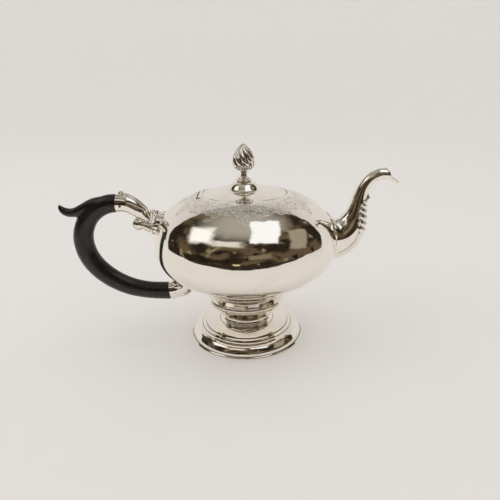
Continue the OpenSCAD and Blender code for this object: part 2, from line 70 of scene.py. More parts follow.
# ---- small tools of the bench -------------------------------------------
def smooth(run, steps=5):
    """Points of a soft curve through given points."""
    out = []
    n = len(run) - 1
    for i in range(n):
        a = run[i - 1] if i else [2 * p - q for p, q in zip(run[0], run[1])]
        b, c = run[i], run[i + 1]
        d = run[i + 2] if i + 2 <= n else [2 * p - q for p, q in zip(run[n], run[n - 1])]
        for k in range(steps):
            u = k / steps
            out.append(tuple(0.5 * (2 * q + (r - p) * u + (2 * p - 5 * q + 4 * r - s) * u * u
                                    + (3 * q - p - 3 * r + s) * u ** 3) for p, q, r, s in zip(a, b, c, d)))
    out.append(tuple(run[n]))
    return out


def outline(*runs):
    """Joins soft runs into one outline with a crisp corner at each join."""
    out = []
    for run in runs:
        pts = smooth(run) if len(run) > 2 else [tuple(p) for p in run]
        out += pts if not out or math.dist(out[-1], pts[0]) > 0.01 else pts[1:]
    if math.dist(out[0], out[-1]) < 0.01:
        out.pop()
    return out


def start(adder, name, **settings):
    bpy.ops.object.select_all(action="DESELECT")
    adder(**settings)
    obj = bpy.context.object
    obj.name = name
    obj.data.name = name
    return obj


def edit(obj):
    bpy.ops.object.select_all(action="DESELECT")
    bpy.context.view_layer.objects.active = obj
    obj.select_set(True)
    bpy.ops.object.mode_set(mode="EDIT")
    bpy.ops.mesh.select_all(action="SELECT")


def done(obj, angle=35):
    if bpy.context.mode != "OBJECT":
        bpy.ops.object.mode_set(mode="OBJECT")
    bpy.ops.object.select_all(action="DESELECT")
    bpy.context.view_layer.objects.active = obj
    obj.select_set(True)
    bpy.ops.object.transform_apply(location=True, rotation=True, scale=True)
    bpy.ops.object.shade_smooth_by_angle(angle=math.radians(angle))
    return obj


def tidy(obj, gap=0.002):
    """Merges doubles and turns every face outwards."""
    edit(obj)
    bpy.ops.mesh.remove_doubles(threshold=gap * MM)
    bpy.ops.mesh.dissolve_degenerate(threshold=gap * MM)
    bpy.ops.mesh.select_all(action="SELECT")
    bpy.ops.mesh.normals_make_consistent(inside=False)
    bpy.ops.object.mode_set(mode="OBJECT")
    return obj


def finish_with(obj, kind, **settings):
    bpy.context.view_layer.objects.active = obj
    mod = obj.modifiers.new(kind.lower(), kind)
    for key, value in settings.items():
        setattr(mod, key, value)
    bpy.ops.object.modifier_apply(modifier=mod.name)
    return obj


def turned(name, profile, steps=144, angle=35):
    """A section drawn with a circle's points, spun round the pot's axis as on a lathe."""
    obj = start(bpy.ops.mesh.primitive_circle_add, name, vertices=len(profile), radius=0.01)
    for v, (r, z) in zip(obj.data.vertices, profile):
        v.co = (r * MM, 0, z * MM)
    edit(obj)
    bpy.ops.mesh.spin(steps=steps, angle=2 * math.pi, center=(0, 0, 0), axis=(0, 0, 1))
    bpy.ops.object.mode_set(mode="OBJECT")
    tidy(obj)
    return done(obj, angle)


def formed(name, nu, nv, place, wall=0.0, angle=50, marks=None):
    """A grid laid on a surface: place(u, v) gives each point in millimetres."""
    obj = start(bpy.ops.mesh.primitive_grid_add, name, x_subdivisions=nu, y_subdivisions=nv, size=1)
    # marks give each point a brightness, kept as an attribute: low in the hollows, for tarnish and painted
    # shade
    note = obj.data.attributes.new("worn", "FLOAT", "POINT") if marks else None
    for i, v in enumerate(obj.data.vertices):
        u, w = (i % (nu + 1)) / nu, (i // (nu + 1)) / nv
        v.co = Vector(place(u, w)) * MM
        if marks:
            note.data[i].value = marks(u, w)
    tidy(obj)
    if wall:
        finish_with(obj, "SOLIDIFY", thickness=wall * MM, offset=-1)
    return done(obj, angle)


def swept(name, line, count=28, steps=5, angle=40):
    """A round bar drawn out ring by ring through stations [x, z, half height, half width]."""
    path = smooth(line, steps)
    turn = []
    for i in range(len(path)):
        a, b = path[max(i - 1, 0)], path[min(i + 1, len(path) - 1)]
        turn.append(math.atan2(b[1] - a[1], b[0] - a[0]))
    x, z, h, w = path[0][:4]
    obj = start(bpy.ops.mesh.primitive_circle_add, name, vertices=count, radius=MM,
                location=(0, 0, 0), rotation=(0, math.pi / 2, 0))
    bpy.ops.object.transform_apply(rotation=True)
    edit(obj)
    bpy.ops.transform.resize(value=(1, w, h), center_override=(0, 0, 0))
    bpy.ops.transform.translate(value=(x * MM, 0, z * MM))
    spin_ring(turn[0], x, z)
    bpy.ops.mesh.edge_face_add()
    for i in range(1, len(path)):
        x0, z0, h0, w0 = path[i - 1][:4]
        x1, z1, h1, w1 = path[i][:4]
        bpy.ops.mesh.extrude_region_move()
        spin_ring(-turn[i - 1], x0, z0)
        bpy.ops.transform.resize(value=(1, w1 / w0, h1 / h0), center_override=(x0 * MM, 0, z0 * MM))
        bpy.ops.transform.translate(value=((x1 - x0) * MM, 0, (z1 - z0) * MM))
        spin_ring(turn[i], x1, z1)
    bpy.ops.object.mode_set(mode="OBJECT")
    tidy(obj)
    return done(obj, angle)


def spin_ring(angle, x, z):
    """Turns the chosen ring in the upright plane, up from +X."""
    bpy.ops.transform.rotate(value=TURN_SIGN * angle, orient_axis="Y", center_override=(x * MM, 0, z * MM))


def turn_sign():
    """Which way the rotate operator turns here."""
    probe = start(bpy.ops.mesh.primitive_circle_add, "probe", vertices=4, radius=1)
    edit(probe)
    bpy.ops.transform.rotate(value=0.5, orient_axis="Y", center_override=(0, 0, 0))
    bpy.ops.object.mode_set(mode="OBJECT")
    lead = max(probe.data.vertices, key=lambda v: v.co.x).co.z
    bpy.data.objects.remove(probe)
    return 1 if lead > 0 else -1


TURN_SIGN = turn_sign()


def cut_with(obj, cutter):
    finish_with(obj, "BOOLEAN", operation="DIFFERENCE", object=cutter, solver="EXACT")
    bpy.data.objects.remove(cutter)
    return done(obj)


def join(main, other):
    """Makes the second mesh a part of the first."""
    bpy.ops.object.select_all(action="DESELECT")
    other.select_set(True)
    main.select_set(True)
    bpy.context.view_layer.objects.active = main
    bpy.ops.object.join()


def heading(path, i):
    """Direction of a path in the upright plane at one of its points."""
    a, b = path[max(i - 1, 0)], path[min(i + 1, len(path) - 1)]
    d = math.dist(a[:2], b[:2])
    return (b[0] - a[0]) / d, (b[1] - a[1]) / d


def on_bar(path, i, phi, lift, way=1):
    """Point on a bar's skin at angle phi from its upper side, raised by lift, on one side of Y = 0."""
    x, z, hh, hw = path[i][:4]
    hx, hz = heading(path, i)
    c, s = math.cos(phi), math.sin(phi)
    return x - hz * (hh + lift) * c, way * (hw + lift) * s, z + hx * (hh + lift) * c


def slot_cutter():
    obj = start(bpy.ops.mesh.primitive_cube_add, "slot_cutter", size=1,
                location=(-HINGE_X * MM, 0, (HINGE_Z + 2) * MM),
                scale=(4.2 * MM, 2 * HINGE_HALF * MM, 12 * MM))
    bpy.ops.object.transform_apply(location=True, scale=True)
    return obj


# ---- materials -----------------------------------------------------------
class Line:
    """A value in a material; sums on it add the nodes that work them out."""

    def __init__(self, mat, socket):
        self.mat, self.socket = mat, socket

    def math(self, what, *others):
        return self.mat.node("ShaderNodeMath", {"operation": what}, self, *others)

    def __add__(self, o): return self.math("ADD", o)
    def __radd__(self, o): return self.math("ADD", o)
    def __sub__(self, o): return self.math("SUBTRACT", o)
    def __rsub__(self, o): return self.mat.node("ShaderNodeMath", {"operation": "SUBTRACT"}, o, self)
    def __mul__(self, o): return self.math("MULTIPLY", o)
    def __rmul__(self, o): return self.math("MULTIPLY", o)
    def __truediv__(self, o): return self.math("DIVIDE", o)
    def __pow__(self, o): return self.math("POWER", o)
    def fract(self): return self.math("FRACT")
    def abs(self): return self.math("ABSOLUTE")
    def sin(self): return self.math("SINE")
    def root(self): return self.math("SQRT")
    def at_least(self, o): return self.math("MAXIMUM", o)

    def ramp(self, lo, hi, out_lo=0.0, out_hi=1.0):
        """Soft step from lo to hi."""
        return self.mat.node("ShaderNodeMapRange", {"interpolation_type": "SMOOTHSTEP"},
                             self, lo, hi, out_lo, out_hi)


class Finish:
    def __init__(self, name, **constants):
        self.mat = bpy.data.materials.new(name)
        self.mat.use_nodes = True
        self.tree = self.mat.node_tree
        self.shader = next(n for n in self.tree.nodes if n.type == "BSDF_PRINCIPLED")
        for key, value in constants.items():
            self.shader.inputs[key.replace("_", " ")].default_value = value
        self.here = self.node("ShaderNodeTexCoord", {}, out="Object")

    def node(self, kind, settings, *values, out=0, **named):
        n = self.tree.nodes.new(kind)
        for key, value in settings.items():
            setattr(n, key, value)
        pairs = list(zip(n.inputs, values)) + [(n.inputs[k.replace("_", " ")], v) for k, v in named.items()]
        for socket, value in pairs:
            if isinstance(value, Line):
                self.tree.links.new(value.socket, socket)
            elif value is not None:
                socket.default_value = value
        return Line(self, n.outputs[out])

    def parts(self):
        n = self.node("ShaderNodeSeparateXYZ", {}, self.here).socket.node
        return [Line(self, s) * 1000 for s in n.outputs]

    def noise(self, scale, detail=2.0, stretch=None, roughness=0.5):
        spot = self.here
        if stretch:
            spot = self.node("ShaderNodeMapping", {}, self.here, Scale=stretch)
        return self.node("ShaderNodeTexNoise", {}, spot, Scale=scale, Detail=detail, Roughness=roughness)

    def mix(self, share, a, b):
        n = self.tree.nodes.new("ShaderNodeMix")
        n.data_type = "RGBA"
        for socket, value in ((n.inputs[0], share), (n.inputs[6], a), (n.inputs[7], b)):
            if isinstance(value, Line):
                self.tree.links.new(value.socket, socket)
            else:
                socket.default_value = value
        return Line(self, n.outputs[2])

    def bump(self, height, strength, reach, over=None):
        return self.node("ShaderNodeBump", {}, Strength=strength, Distance=reach * MM, Height=height,
                         Normal=over)

    def feed(self, **links):
        for key, value in links.items():
            self.tree.links.new(value.socket, self.shader.inputs[key.replace("_", " ")])
        return self.mat


SILVER = (0.965, 0.925, 0.85, 1)
DULL = (0.74, 0.66, 0.54, 1)
# DARK: colour of the hollows of chased relief, tarnish and painted shade
DARK = (0.2, 0.17, 0.14, 1)


def polished(name, wobble=0.35, worn=False, engraved=False, fine=0.03, lines=()):
    f = Finish(name, Metallic=1.0, Roughness=0.08)
    swell = f.noise(26, 1.0)
    ripple = f.noise(120, 1.0)
    rub = f.noise(900, 3.0, stretch=(1, 1, 0.35))
    film = f.noise(45, 4.0, roughness=0.65)
    colour = f.mix(film.ramp(0.45, 0.85) * 0.35, SILVER, DULL)
    gloss = film.ramp(0.4, 0.8, 0.05, 0.11) + rub.ramp(0.55, 0.8) * 0.03
    height = swell * wobble + ripple * (0.12 * wobble)
    face = f.bump(height, 1.0, 1.0)
    # chased relief: darker and rougher in its hollows, tarnish and painted shade
    if worn:
        depth = f.node("ShaderNodeAttribute", {"attribute_name": "worn"}, out="Fac")
        colour = f.mix(depth.ramp(0.05, 0.8), DARK, colour)
        gloss = gloss + (1 - depth) * 0.12
    if engraved:
        cut, shade = scrollwork(f)
        colour = f.mix(shade, colour, DULL)
        gloss = gloss + cut * 0.3
        face = f.bump(cut * -1, 0.8, 0.12, over=face)
    # dark rings, each (radius, lowest z, highest z, half width, strength): the body's ring round the mouth
    # is painted shade in the lid seam; the foot's lie at its steps and joints
    if lines:
        x, y, z = f.parts()
        r = (x * x + y * y).root()
        for at, low, high, wide, share in lines:
            ring = (1 - (r - at).abs().ramp(wide, wide + 0.3)) * z.ramp(low - 0.1, low)
            ring = ring * (1 - z.ramp(high, high + 0.1))
            if engraved:
                # painted shade: the body's seam ring darker towards the back (+Y)
                ring = ring * y.ramp(-24, 6, 0.15, 1)
            colour = f.mix(ring * share, colour, (0.05, 0.04, 0.03, 1))
            gloss = gloss + ring * 0.25
    face = f.bump(rub, fine, 0.02, over=face)
    return f.feed(Base_Color=colour, Roughness=gloss, Normal=face)


def scrollwork(f):
    """Engraved band of leafy scrolls on the shoulder, laid out round the pot's axis."""
    x, y, z = f.parts()
    r = (x * x + y * y).root()
    turn = f.node("ShaderNodeMath", {"operation": "ARCTAN2"}, y, x)
    cells = 18
    lane = turn * (cells / (2 * math.pi)) + cells
    flip = (lane * 0.5).fract().ramp(0.499, 0.501, -1, 1)
    u = (lane.fract() - 0.5) * (2 * math.pi * 42 / cells)
    v = (r - 41.5 - flip * 2.4) * flip
    far = (u * u + v * v).root()
    way = f.node("ShaderNodeMath", {"operation": "ARCTAN2"}, v, u) * (1 / (2 * math.pi))
    coil = 1 - ((far / 2.3 - way).fract() - 0.5).abs().ramp(0.03, 0.13)
    coil = coil * (1 - far.ramp(4.6, 5.6)) * far.ramp(0.4, 1.0)
    petal = 1 - ((way * 9 + far * 0.3).fract() - 0.5).abs().ramp(0.03, 0.14)
    petal = petal * far.ramp(4.8, 5.4) * (1 - far.ramp(7.2, 8.6))
    leaf, sprig = f.noise(210, 2.0, roughness=0.6), f.noise(430, 1.0)
    vein = 1 - (leaf - 0.5).abs().ramp(0.004, 0.03)
    stalk = 1 - (sprig - 0.52).abs().ramp(0.006, 0.04)
    stalk = stalk * f.noise(70, 1.0).ramp(0.45, 0.55)
    drop = f.node("ShaderNodeMath", {"operation": "COSINE"}, (turn + math.pi / 2) * 6).at_least(0) ** 14
    rim = 47.5 + (turn * 18).sin() * 1.5 + (turn * 41 + 0.7).sin() * 0.8 + drop * 8
    inside = (1 - (r - rim).ramp(-0.6, 0.4)) * r.ramp(33, 34.5) * z.ramp(80, 84)
    wave = (1 - (r - rim).abs().ramp(0.1, 0.55)) * f.noise(90, 1.0).ramp(0.4, 0.5)
    cut = (coil * 0.8).at_least(petal * 0.8).at_least(vein).at_least(stalk) * inside
    cut = cut.at_least(wave * z.ramp(80, 84))
    return cut, cut * 0.45


def ebony():
    f = Finish("ebony", Roughness=0.3, Coat_Weight=0.15, Coat_Roughness=0.2, Specular_IOR_Level=0.45)
    grain = f.noise(34, 6.0, stretch=(1.0, 4.0, 1.6), roughness=0.7)
    fibre = f.noise(420, 3.0, stretch=(0.25, 1.0, 0.4))
    # the grain is the wood's own; fading it in browner towards the bottom of the grip is a painted
    # highlight on the lower arm
    lower = f.parts()[2].ramp(30, 70, 1, 0.25)
    colour = f.mix(grain.ramp(0.5, 0.72) * lower, (0.008, 0.007, 0.007, 1), (0.045, 0.022, 0.014, 1))
    gloss = fibre.ramp(0.35, 0.75, 0.25, 0.38)
    face = f.bump(fibre, 0.25, 0.05, over=f.bump(f.noise(60, 2.0), 0.3, 0.4))
    return f.feed(Base_Color=colour, Roughness=gloss, Normal=face)


# its ring at MOUTH_R is painted shade in the seam round the lid
body_silver = polished("raised_silver", wobble=0.8, engraved=True, lines=[(MOUTH_R, 110, 118, 0.18, 0.85)])
lid_silver = polished("lid_silver", wobble=0.25)
turned_silver = polished("turned_silver", wobble=0.12)
foot_silver = polished("foot_silver", wobble=0.12, lines=[
    (FOOT_R - 9.3, 9.4, 10.8, 0.05, 0.85), (FOOT_R - 12.3, 10.8, 12.2, 0.05, 0.85),
    (FOOT_R - 1.1, 2, 3.4, 0.1, 0.8), (WAIST_R + 2.2, 13, 14, 0.2, 0.6)])
cast_silver = polished("cast_silver", wobble=0.1, fine=0.06)
chased_silver = polished("chased_silver", wobble=0.1, worn=True, fine=0.06)
wood = ebony()


def keep(obj, body, material, *nodes):
    obj.data.materials.clear()
    obj.data.materials.append(material)
    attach(obj, body)
    if nodes:
        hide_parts(*nodes)
    return obj


for name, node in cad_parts.items():
    node.data.materials.clear()
    node.data.materials.append(turned_silver)


# ---- body ------------------------------------------------------------------
def body_section():
    def run(d, top, bottom, n):
        out = []
        R = BODY_R - d
        t0 = math.acos((top / R) ** (CROWN_E / 2))
        for i in range(n + 1):
            t = t0 * (1 - i / n)
            out.append((R * math.cos(t) ** (2 / CROWN_E),
                        BELLY_Z + (CROWN_H - d) * math.sin(t) ** (2 / CROWN_E)))
        for i in range(1, n + 1):
            t = math.pi / 2 * i / n
            out.append((max(R * math.cos(t) ** (2 / BOWL_E), 0),
                        BELLY_Z - (BOWL_H - d) * math.sin(t) ** (2 / BOWL_EZ)))
        return out
    outer = run(0, MOUTH_R, 0, 44)
    inner = run(SHEET, MOUTH_R, 0, 30)
    return outer + inner[::-1]


body = turned("pot_body", body_section(), steps=180)
body = cut_with(body, slot_cutter())
keep(body, "pot", body_silver, "body_shell")


# ---- foot --------------------------------------------------------------------
def foot_pieces():
    z, h, w, t = GIRDLE_Z + GIRDLE_H, bowl(CUP_R) - GIRDLE_Z - GIRDLE_H, CUP_R - GIRDLE_R, FOOT_T
    g = GIRDLE_R
    cup = turned("foot_cup_spun", outline(
        [(g - 1.8, z), (g - 0.8, z)],
        [(g - 0.8, z), (g - 0.2, z + 0.06 * h), (g + 0.15 * w, z + 0.28 * h), (g + 0.43 * w, z + 0.55 * h),
         (g + 0.75 * w, z + 0.76 * h), (CUP_R - 0.7, z + 0.9 * h), (CUP_R, bowl(CUP_R))],
        [(CUP_R, bowl(CUP_R)), (CUP_R - 2.4, bowl(CUP_R - 2.4))],
        [(CUP_R - 2.4, bowl(CUP_R - 2.4)), (g + 0.75 * w - 1.4 * t, z + 0.73 * h),
         (g + 0.43 * w - 1.2 * t, z + 0.55 * h), (g + 0.15 * w - 1.1 * t, z + 0.28 * h),
         (g - 1.4, z + 0.09 * h), (g - 1.8, z)]))
    gz = GIRDLE_Z + GIRDLE_H / 2
    girdle = turned("foot_girdle_reeded", outline(
        [(g - 2.6, gz - 1.4), (g - 0.9, gz - 1.4)],
        [(g - 0.9, gz - 1.4), (g - 0.25, gz - 1.2), (g, gz - 0.78), (g - 0.12, gz - 0.4),
         (g - 0.55, gz - 0.1)],
        [(g - 0.55, gz - 0.1), (g - 0.55, gz + 0.1)],
        [(g - 0.55, gz + 0.1), (g - 0.12, gz + 0.35), (g, gz + 0.75), (g - 0.25, gz + 1.15),
         (g - 0.8, gz + 1.4)],
        [(g - 0.8, gz + 1.4), (g - 2.6, gz + 1.4)], [(g - 2.6, gz + 1.4), (g - 2.6, gz - 1.4)]))
    z, h, w = PLATEAU_Z, GIRDLE_Z - PLATEAU_Z, WAIST_R
    stem = turned("foot_stem_spun", outline(
        [(w + 1.9, z), (w + 0.5, z + 0.03 * h), (w, z + 0.09 * h), (w + 0.3, z + 0.15 * h)],
        [(w + 0.3, z + 0.15 * h), (w + 1.3, z + 0.18 * h), (w + 1.7, z + 0.22 * h), (w + 1.4, z + 0.26 * h),
         (w + 1.1, z + 0.29 * h)],
        [(w + 1.1, z + 0.29 * h), (w + 2.2, z + 0.38 * h), (w + 0.42 * (g - w), z + 0.56 * h),
         (w + 0.66 * (g - w), z + 0.77 * h), (g - 1.9, z + 0.93 * h), (g - 1.6, z + h)],
        [(g - 1.6, z + h), (g - 2.6, z + h)],
        [(g - 2.6, z + h), (g - 1.9 - 1.2 * t, z + 0.92 * h), (w + 0.66 * (g - w) - 1.1 * t, z + 0.77 * h),
         (w + 0.42 * (g - w) - t, z + 0.57 * h), (w + 2.2 - t, z + 0.39 * h), (w - t, z + 0.18 * h),
         (w - t, z + 0.06 * h), (w - 0.6, z)], [(w - 0.6, z), (w + 1.9, z)]))
    r = FOOT_R
    dome = turned("foot_dome_spun", outline(
        [(w - 0.6, z), (w + 1.9, z)],
        [(w + 1.9, z), (w + 5, z - 0.3), (r - 17, z - 0.7), (r - 14, z - 1.1), (r - 12.5, z - 1.5)],
        [(r - 12.5, z - 1.5), (r - 12.2, z - 2.2)],
        [(r - 12.2, z - 2.2), (r - 10.8, z - 2.5), (r - 9.5, z - 2.9)],
        [(r - 9.5, z - 2.9), (r - 9.2, z - 3.3)],
        [(r - 9.2, z - 3.3), (r - 8, z - 3.35), (r - 6.2, z - 3.9), (r - 4.2, z - 5.1), (r - 2.6, z - 7),
         (r - 1.7, z - 8.8), (r - 1.3, RIM_H)],
        [(r - 1.3, RIM_H), (r - 1.3 - t, RIM_H)],
        [(r - 1.3 - t, RIM_H), (r - 1.7 - t, z - 8.8), (r - 2.7 - 0.85 * t, z - 7.4),
         (r - 4.4 - 0.6 * t, z - 5.9),
         (r - 6.6 - 0.4 * t, z - 4.8), (r - 9.6, z - 4.2), (r - 12.4, z - 3.4), (r - 14.4, z - 2.2),
         (r - 17, z - 1.8), (w + 5, z - 1.4), (w - 0.6, z - 1.1)], [(w - 0.6, z - 1.1), (w - 0.6, z)]))
    wd = 3.4
    rim = turned("foot_rim_wire", outline(
        [(r - wd, 0), (r - 0.5, 0)],
        [(r - 0.5, 0), (r - 0.1, 0.25), (r, 0.9), (r - 0.02, 1.5), (r - 0.3, 2.15), (r - 1, RIM_H)],
        [(r - 1, RIM_H), (r - wd, RIM_H)], [(r - wd, RIM_H), (r - wd, 0)]))
    keep(cup, "pot", turned_silver, "foot_cup")
    keep(girdle, "pot", turned_silver, "foot_girdle")
    keep(stem, "pot", turned_silver, "foot_stem")
    keep(dome, "pot", foot_silver, "foot_dome")
    keep(rim, "pot", foot_silver, "foot_rim")


foot_pieces()


# ---- lid -----------------------------------------------------------------------
def lid_pieces():
    top = [(r, crown(r)) for r in (13, 16, 19, 22, 25, 28, 30, LID_R - 0.3)]
    top.append((LID_R, crown(LID_R) - 0.25))
    under = [(r, z - LID_SHEET) for r, z in top[:-1]][::-1]
    edge = [(LID_R, crown(LID_R) - LID_SHEET)]
    plate = turned("lid_plate_raised", smooth(top, 3) + edge + smooth(under, 3), steps=160)
    plate = cut_with(plate, slot_cutter())
    keep(plate, "lid", lid_silver, "lid_plate")
    z, h, r, t = crown(DOME_R), DOME_H, DOME_R, LID_SHEET
    dome = turned("lid_dome_raised", outline(
        [(r - 1.6, crown(r - 1.6)), (r, z)],
        [(r, z), (r - 0.9, z + 0.16), (r - 1.9, z + 0.1 * h), (r - 2.9, z + 0.22 * h),
         (r - 3.8, z + 0.4 * h), (r - 4.7, z + 0.6 * h), (r - 5.9, z + 0.79 * h), (r - 7.4, z + 0.92 * h),
         (r - 9, z + h), (BOLT_R, z + h)],
        [(BOLT_R, z + h), (BOLT_R, z + h - t)],
        [(BOLT_R, z + h - t), (r - 8.6, z + h - t), (r - 6.9, z + 0.93 * h - t),
         (r - 5.2, z + 0.72 * h - 0.6), (r - 4, z + 0.5 * h - 0.3), (r - 3.1, z + 0.24 * h),
         (r - 1.6, crown(r - 1.6))]), steps=120)
    vent = start(bpy.ops.mesh.primitive_cylinder_add, "vent_cutter", radius=0.8 * MM, depth=12 * MM,
                 vertices=24, location=(0, 10.5 * MM, (z + 0.42 * h + 5) * MM),
                 rotation=(math.radians(-60), 0, 0))
    bpy.ops.object.transform_apply(location=True, rotation=True)
    dome = cut_with(dome, vent)
    keep(dome, "lid", turned_silver, "lid_dome")
    z, r, b = crown(DOME_R) + DOME_H, COLLAR_R, BOLT_R
    collar = turned("finial_collar_turned", outline(
        [(b, z), (r - 1.2, z)],
        [(r - 1.2, z), (r - 0.6, z + 0.4), (r, z + 1), (r - 0.2, z + 1.6), (r - 1.2, z + 1.9)],
        [(r - 1.2, z + 1.9), (r - 1.6, z + 2.2), (r - 1.9, z + 2.8), (r - 2.8, z + 3.2), (r - 3.7, z + 3.9),
         (b + 1.2, z + 4.9)],
        [(b + 1.2, z + 4.9), (b + 1.1, z + 5.7)],
        [(b + 1.1, z + 5.7), (b + 1.4, z + 6.1), (b + 1.5, z + 6.6), (b + 1.2, z + 7.4)],
        [(b + 1.2, z + 7.4), (b, z + 7.4)], [(b, z + 7.4), (b, z)]), steps=96)
    keep(collar, "lid", turned_silver, "finial_collar")


lid_pieces()


def bud():
    """Spirally fluted bud: a lobed outline that turns as it rises."""
    z, r = crown(DOME_R) + DOME_H + 7.4, BUD_R
    rise = smooth([(0.1, z + 0.02), (2.5, z), (4.9, z + 0.8), (6.9, z + 2.3), (r - 0.5, z + 4.2),
                   (r - 0.1, z + 6), (r, z + 7.5), (r - 0.35, z + 9.8), (r - 1.2, z + 12),
                   (r - 2.4, z + 14.2), (r - 4, z + 16.2), (r - 5.6, z + 17.9), (r - 6.9, z + 19),
                   (r - 7.7, z + 19.5), (0.02, z + 19.7)], 5)
    lobes = 10

    def lobe(u, v):
        ring = rise[round(v * (len(rise) - 1))]
        a = 2 * math.pi * u - 0.7 * v - 1.1 * v * v
        ridge = abs(math.sin(lobes * math.pi * u)) ** 0.65
        return ring, a, ridge

    def place(u, v):
        (rr, zz), a, ridge = lobe(u, v)
        deep = 0.17 * min(1, rr / 4) * min(1, max(0, (zz - z - 0.6) / 2.5))
        k = 1 - deep * (1 - ridge)
        return rr * k * math.cos(a), rr * k * math.sin(a), zz

    # marks: grooves between the lobes darker, tarnish and painted shade
    obj = formed("finial_bud_wrythen", 200, len(rise) - 1, place, angle=75,
                 marks=lambda u, v: 0.25 + 0.75 * lobe(u, v)[2])
    keep(obj, "lid", chased_silver, "finial_bud")


bud()


# ---- spout -----------------------------------------------------------------------
def out_from_side(line, way=1):
    return [(way * (BODY_R + s[0]), BELLY_Z + s[1]) + tuple(s[2:]) for s in line]


# out from the body's side, up from the belly, half height, half width, and how far the top is open
POUR = out_from_side([(-9, 1.5, 18.4, 13.4, 0), (-1, 2.7, 16.8, 12.4, 0), (6, 5.5, 14.5, 10.8, 0),
                      (11, 11, 12, 9.2, 0), (14, 18.5, 9, 7.6, 0), (15.7, 27, 6.5, 6.3, 0),
                      (17, 34, 5.5, 5.5, 0), (19.5, 41, 4.7, 5, 0), (24, 47, 4.4, 4.8, 0),
                      (30, 50.1, 4.4, 4.7, 0), (33.4, 50.5, 4.3, 4.6, 0), (35, 50.4, 4.25, 4.6, 35),
                      (36.3, 50.2, 4.2, 4.5, 62), (37.2, 50, 4.2, 4.4, 88), (38.6, 49.7, 4.2, 4.3, 108),
                      (42.6, 48.6, 4.3, 3.6, 125), (46.6, 46.7, 4.3, 2.6, 145)])
SPOUT_STEPS = 16
CLOSED_TO = 9       # the last station well inside the closed tube
SPOUT_PATH = smooth(POUR, SPOUT_STEPS)


# station along the spout, and how far round from the front the leaf reaches there
LEAF_EDGE = [(0.9, 0.3), (1.6, 0.29), (2.0, 0.305), (2.4, 0.3), (2.9, 0.335), (3.3, 0.36), (4.15, 0.46),
             (4.8, 0.5), (5.4, 0.46), (5.8, 0.34), (6.1, 0.2), (6.4, 0.1), (6.6, 0.02)]


def leaf_relief(t, phi):
    """Height of the acanthus leaf on the front of the spout, in mm, and how bright it is: darker in its
    grooves and round its edge, as tarnish and painted shade.
    """
    # t counts stations from the root; phi is 180 on the front and 0 on the back, in degrees
    off = (180 - phi) / 180
    if not LEAF_EDGE[0][0] < t < LEAF_EDGE[-1][0]:
        return 0.0, 1.0
    k = next(i for i in range(len(LEAF_EDGE) - 1) if t <= LEAF_EDGE[i + 1][0])
    (ta, ea), (tb, eb) = LEAF_EDGE[k], LEAF_EDGE[k + 1]
    edge = ea + (eb - ea) * (t - ta) / (tb - ta)
    ribbed = max(0.0, min(1.0, (t - 3.0) / 0.4))
    tail = min(1, (6.4 - t) / 1.2) if t < 6.4 else 0
    edge += ribbed * 0.035 * math.cos(2 * math.pi * (t * 2.1 + 0.1)) * tail
    depth = edge - off
    if depth < 0:
        # just outside the leaf a dark band: tarnish and painted shade under its raised edge
        return 0.0, 0.35 if depth > -0.018 else 1.0
    lift = min(1, depth / 0.03)
    line = math.exp(-((depth - 0.055) / 0.016) ** 2)
    rib = math.cos(2 * math.pi * (t * 2.1 - off * 2.6))
    mid = math.exp(-(off / 0.035) ** 2)
    curl = max(0.0, 1 - abs(t - 6.15) / 0.35) * math.exp(-(off / 0.16) ** 2) * 2.1
    plain = 0.75 - 0.5 * line
    feathered = 0.75 + 0.42 * rib
    height = lift * (plain * (1 - ribbed) + feathered * ribbed + 0.3 * mid) + curl
    # bright: darker in the outline groove, between the ribs and where the leaf is low, as tarnish and
    # painted shade
    bright = (1 - 0.55 * line) * (1 - ribbed) + (0.6 + 0.4 * rib) * ribbed
    return height, max(0.0, min(1.0, bright * (0.45 + 0.55 * lift)))


def spout_half(name, way, node):
    n = len(SPOUT_PATH) - 1
    across = 72

    def place(u, v):
        i = round(v * n)
        f = max(0, SPOUT_PATH[i][4])
        skin = u <= 0.5
        w = u * 2 if skin else (1 - u) * 2
        phi = f + (180 - f) * w
        lift = leaf_relief(i / SPOUT_STEPS, phi)[0] if skin else -1.0
        return on_bar(SPOUT_PATH, i, math.radians(phi), lift, way)

    # brightness of the spout's skin: tarnish and painted shade on the leaf; the inner face keeps full
    # colour
    def worn(u, v):
        i = round(v * n)
        if u > 0.5:
            return 0.8
        f = max(0, SPOUT_PATH[i][4])
        return leaf_relief(i / SPOUT_STEPS, f + (180 - f) * u * 2)[1]

    obj = formed(name, 2 * across, n, place, marks=worn, angle=55)
    keep(obj, "pot", chased_silver, node)
    return obj


spout_half("spout_far_cast", 1, "spout_far_half")
spout_half("spout_near_cast", -1, "spout_near_half")


def mouth_bead():
    """Rolled edge round the spout's mouth, thinner along the lip."""
    n = len(SPOUT_PATH) - 1
    first = next(i for i in range(CLOSED_TO * SPOUT_STEPS, n) if SPOUT_PATH[i + 1][4] > 1)

    def edge(i, way):
        return Vector(on_bar(SPOUT_PATH, i, math.radians(max(0, SPOUT_PATH[i][4])), -0.5, way))

    run = [edge(i, -1) for i in range(n, first, -1)] + [edge(first, 0)]
    run += [edge(i, 1) for i in range(first + 1, n + 1)]
    last = len(run) - 1

    def place(u, v):
        i = round(v * last)
        way = (run[min(i + 1, last)] - run[max(i - 1, 0)]).normalized()
        side = way.cross(Vector((0.5, 0, 1))).normalized()
        up = side.cross(way)
        thick = 0.42 + 0.38 * math.sin(math.pi * v) ** 6
        thick *= min(1, 0.02 + i / 4, 0.02 + (last - i) / 4)
        a = 2 * math.pi * u
        return run[i] + side * (thick * math.cos(a)) + up * (thick * math.sin(a))

    keep(formed("spout_mouth_bead", 14, last, place, angle=80), "pot", cast_silver)


mouth_bead()


